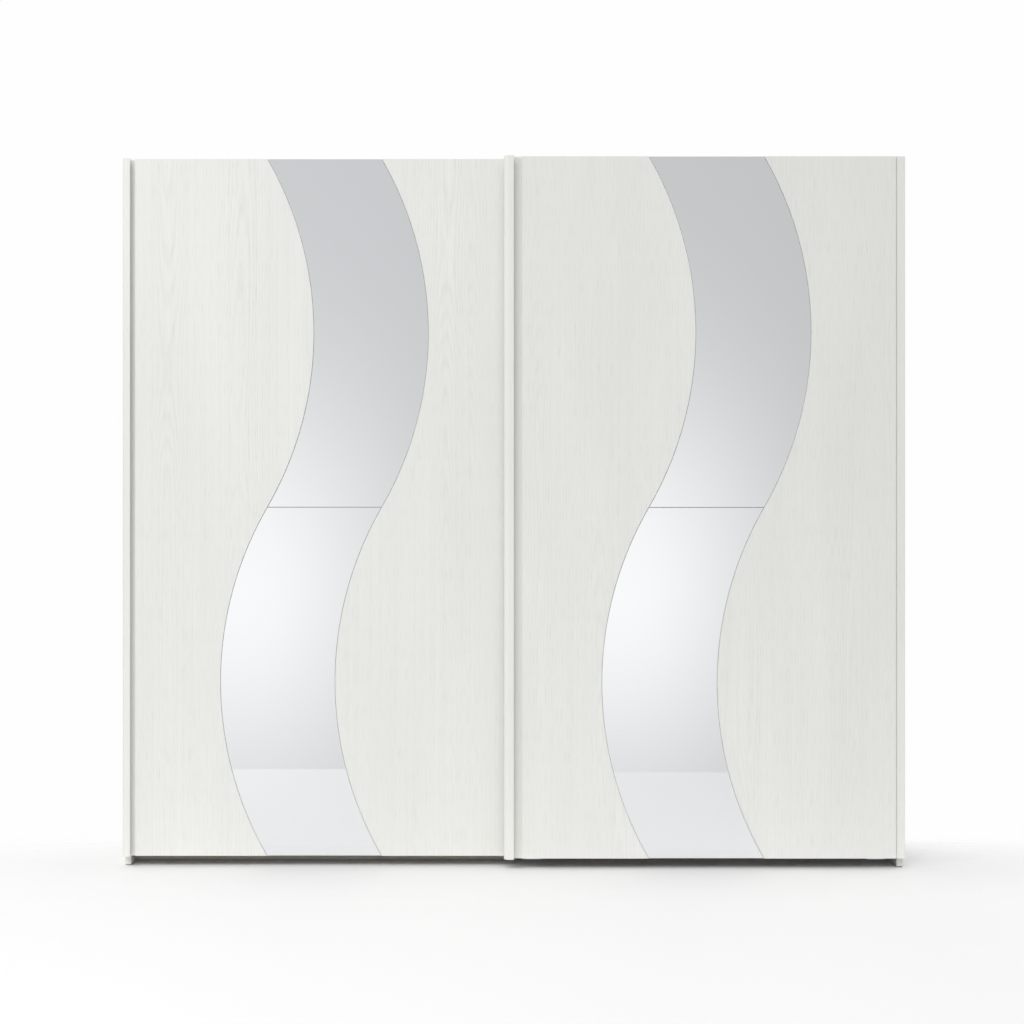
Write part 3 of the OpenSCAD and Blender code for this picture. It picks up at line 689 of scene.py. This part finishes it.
def build_room(scene, studio):
    """White room: even for what it lights, with soft window glows for what mirrors see."""
    world = bpy.data.worlds.new("White room")
    world.use_nodes = True
    scene.world = world
    tree = world.node_tree
    tree.nodes.clear()
    g = Graph(tree)
    direction = g.add("ShaderNodeTexCoord").outputs["Generated"]
    split = g.add("ShaderNodeSeparateXYZ")
    g.feed(split.inputs[0], direction)
    x, y, z = split.outputs
    # How steeply a ray leaves to the side, u, and upwards, v, on its way forwards
    least_forward = 0.15
    forward = g.math("MAXIMUM", g.math("MULTIPLY", y, -1.0), least_forward)
    u, v = g.math("DIVIDE", x, forward), g.math("DIVIDE", z, forward)
    # The window's glow repeats across, so that each door's mirror shows it in the same place
    glow_step, glow_u, glow_v = 0.1903, -0.139, -0.053
    spread_u, spread_v = 0.080, 0.106
    wrap_shift = 0.03
    offset = g.math("WRAP", g.math("SUBTRACT", u, glow_u), 0.5 * glow_step + wrap_shift,
                    -0.5 * glow_step + wrap_shift)
    du = g.math("DIVIDE", offset, spread_u)
    dv = g.math("DIVIDE", g.math("SUBTRACT", v, glow_v), spread_v)
    away = g.math("ADD", g.math("MULTIPLY", du, du), g.math("MULTIPLY", dv, dv))
    glow = g.math("EXPONENT", g.math("MULTIPLY", away, -1.0))
    floor_glow = g.math("MULTIPLY", g.fit(v, -0.150, -0.190), g.fit(v, -0.45, -0.25))
    plain = g.mix(g.fit(u, -0.2, 0.2), ROOM_LEFT, ROOM_RIGHT)
    seen = g.mix(floor_glow, g.mix(glow, plain, grey(WINDOW_LEVEL)), grey(LOW_LEVEL))
    # What lights matt surfaces, what mirrors see and what the camera sees
    low, high, back = grey(studio.low_fill), grey(studio.fill), grey(studio.back_fill)
    fill = g.mix(g.fit(z, -0.02, 0.02), low, g.mix(g.fit(y, 0.0, 0.3), high, back))
    rays = g.add("ShaderNodeLightPath")
    room = g.mix(rays.outputs["Is Glossy Ray"], fill, seen)
    shown = g.mix(rays.outputs["Is Camera Ray"], room, grey(BACKDROP_LEVEL))
    shine = g.add("ShaderNodeBackground")
    g.feed(shine.inputs["Color"], shown)
    g.feed(g.add("ShaderNodeOutputWorld").inputs["Surface"], shine.outputs[0])


def place_lamp(name, kind):
    lamp = bpy.data.lights.new(name, kind)
    obj = bpy.data.objects.new(name, lamp)
    obj.visible_glossy = False
    obj.visible_camera = False
    bpy.context.scene.collection.objects.link(obj)
    return obj


def key_light(studio):
    """Broad light from above in front, far enough away to be even over both doors."""
    obj = place_lamp("key_light", "SUN")
    obj.data.energy = studio.key_strength
    obj.data.angle = studio.key_width
    obj.rotation_euler = (math.radians(90) - studio.key_height, 0.0, -studio.key_side)


def side_light(studio, aim):
    """Soft box high up on the left."""
    obj = place_lamp("side_light", "AREA")
    obj.data.shape = "RECTANGLE"
    obj.data.size, obj.data.size_y = 1.6, 0.9
    obj.data.energy = studio.side_power
    obj.location = (-3.0, -3.6, 3.3)
    obj.rotation_euler = (obj.location - aim).to_track_quat("Z", "Y").to_euler()


class WARDROBE_OT_studio(Operator):
    """Floor, room, key light and camera"""

    bl_idname = "wardrobe.studio"
    bl_label = "Studio"

    def execute(self, context):
        scene = context.scene
        studio = scene.wardrobe_studio
        scene.view_settings.view_transform = "Standard"
        build_floor(studio)
        build_room(scene, studio)
        middle = (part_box("left_panel")[0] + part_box("right_panel")[1]) / 2
        key_light(studio)
        side_light(studio, middle)
        camera = bpy.data.cameras.new("camera")
        camera.sensor_width = 36.0
        camera.lens = studio.lens
        camera.shift_x, camera.shift_y = -0.0008, -0.03125
        camera.clip_end = 100.0
        eye = bpy.data.objects.new("camera", camera)
        front_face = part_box("right_panel")[0].y
        eye.location = (0.0, front_face - studio.distance, studio.eye_height)
        eye.rotation_euler = (math.radians(90), 0.0, 0.0)
        scene.collection.objects.link(eye)
        scene.camera = eye
        return {"FINISHED"}


# ---------------------------------------------------------------- panel and start

OPERATORS = (WARDROBE_OT_doors, WARDROBE_OT_grips, WARDROBE_OT_mirrors, WARDROBE_OT_carcass,
             WARDROBE_OT_hardware, WARDROBE_OT_wheels, WARDROBE_OT_studio)


class WARDROBE_PT_sidebar(Panel):
    """Buttons for every group of pieces, and the settings"""

    bl_idname = "WARDROBE_PT_sidebar"
    bl_label = "Sliding wardrobe"
    bl_space_type = "VIEW_3D"
    bl_region_type = "UI"
    bl_category = "Wardrobe"

    def draw(self, context):
        column = self.layout.column()
        for operator in OPERATORS:
            column.operator(operator.bl_idname)
        for settings in (context.scene.wardrobe_finish, context.scene.wardrobe_studio):
            for name in settings.bl_rna.properties.keys():
                if name not in ("rna_type", "name"):
                    column.prop(settings, name)


CLASSES = (WardrobeFinish, WardrobeStudio) + OPERATORS + (WARDROBE_PT_sidebar,)


def register():
    for cls in CLASSES:
        bpy.utils.register_class(cls)
    bpy.types.Scene.wardrobe_finish = PointerProperty(type=WardrobeFinish)
    bpy.types.Scene.wardrobe_studio = PointerProperty(type=WardrobeStudio)


def unregister():
    del bpy.types.Scene.wardrobe_studio
    del bpy.types.Scene.wardrobe_finish
    for cls in reversed(CLASSES):
        bpy.utils.unregister_class(cls)


def main():
    register()
    bpy.ops.wardrobe.doors()
    bpy.ops.wardrobe.grips()
    bpy.ops.wardrobe.mirrors()
    bpy.ops.wardrobe.carcass()
    bpy.ops.wardrobe.hardware()
    bpy.ops.wardrobe.wheels()
    bpy.ops.wardrobe.studio()
    bpy.context.view_layer.update()


if __name__ == "__main__":
    main()
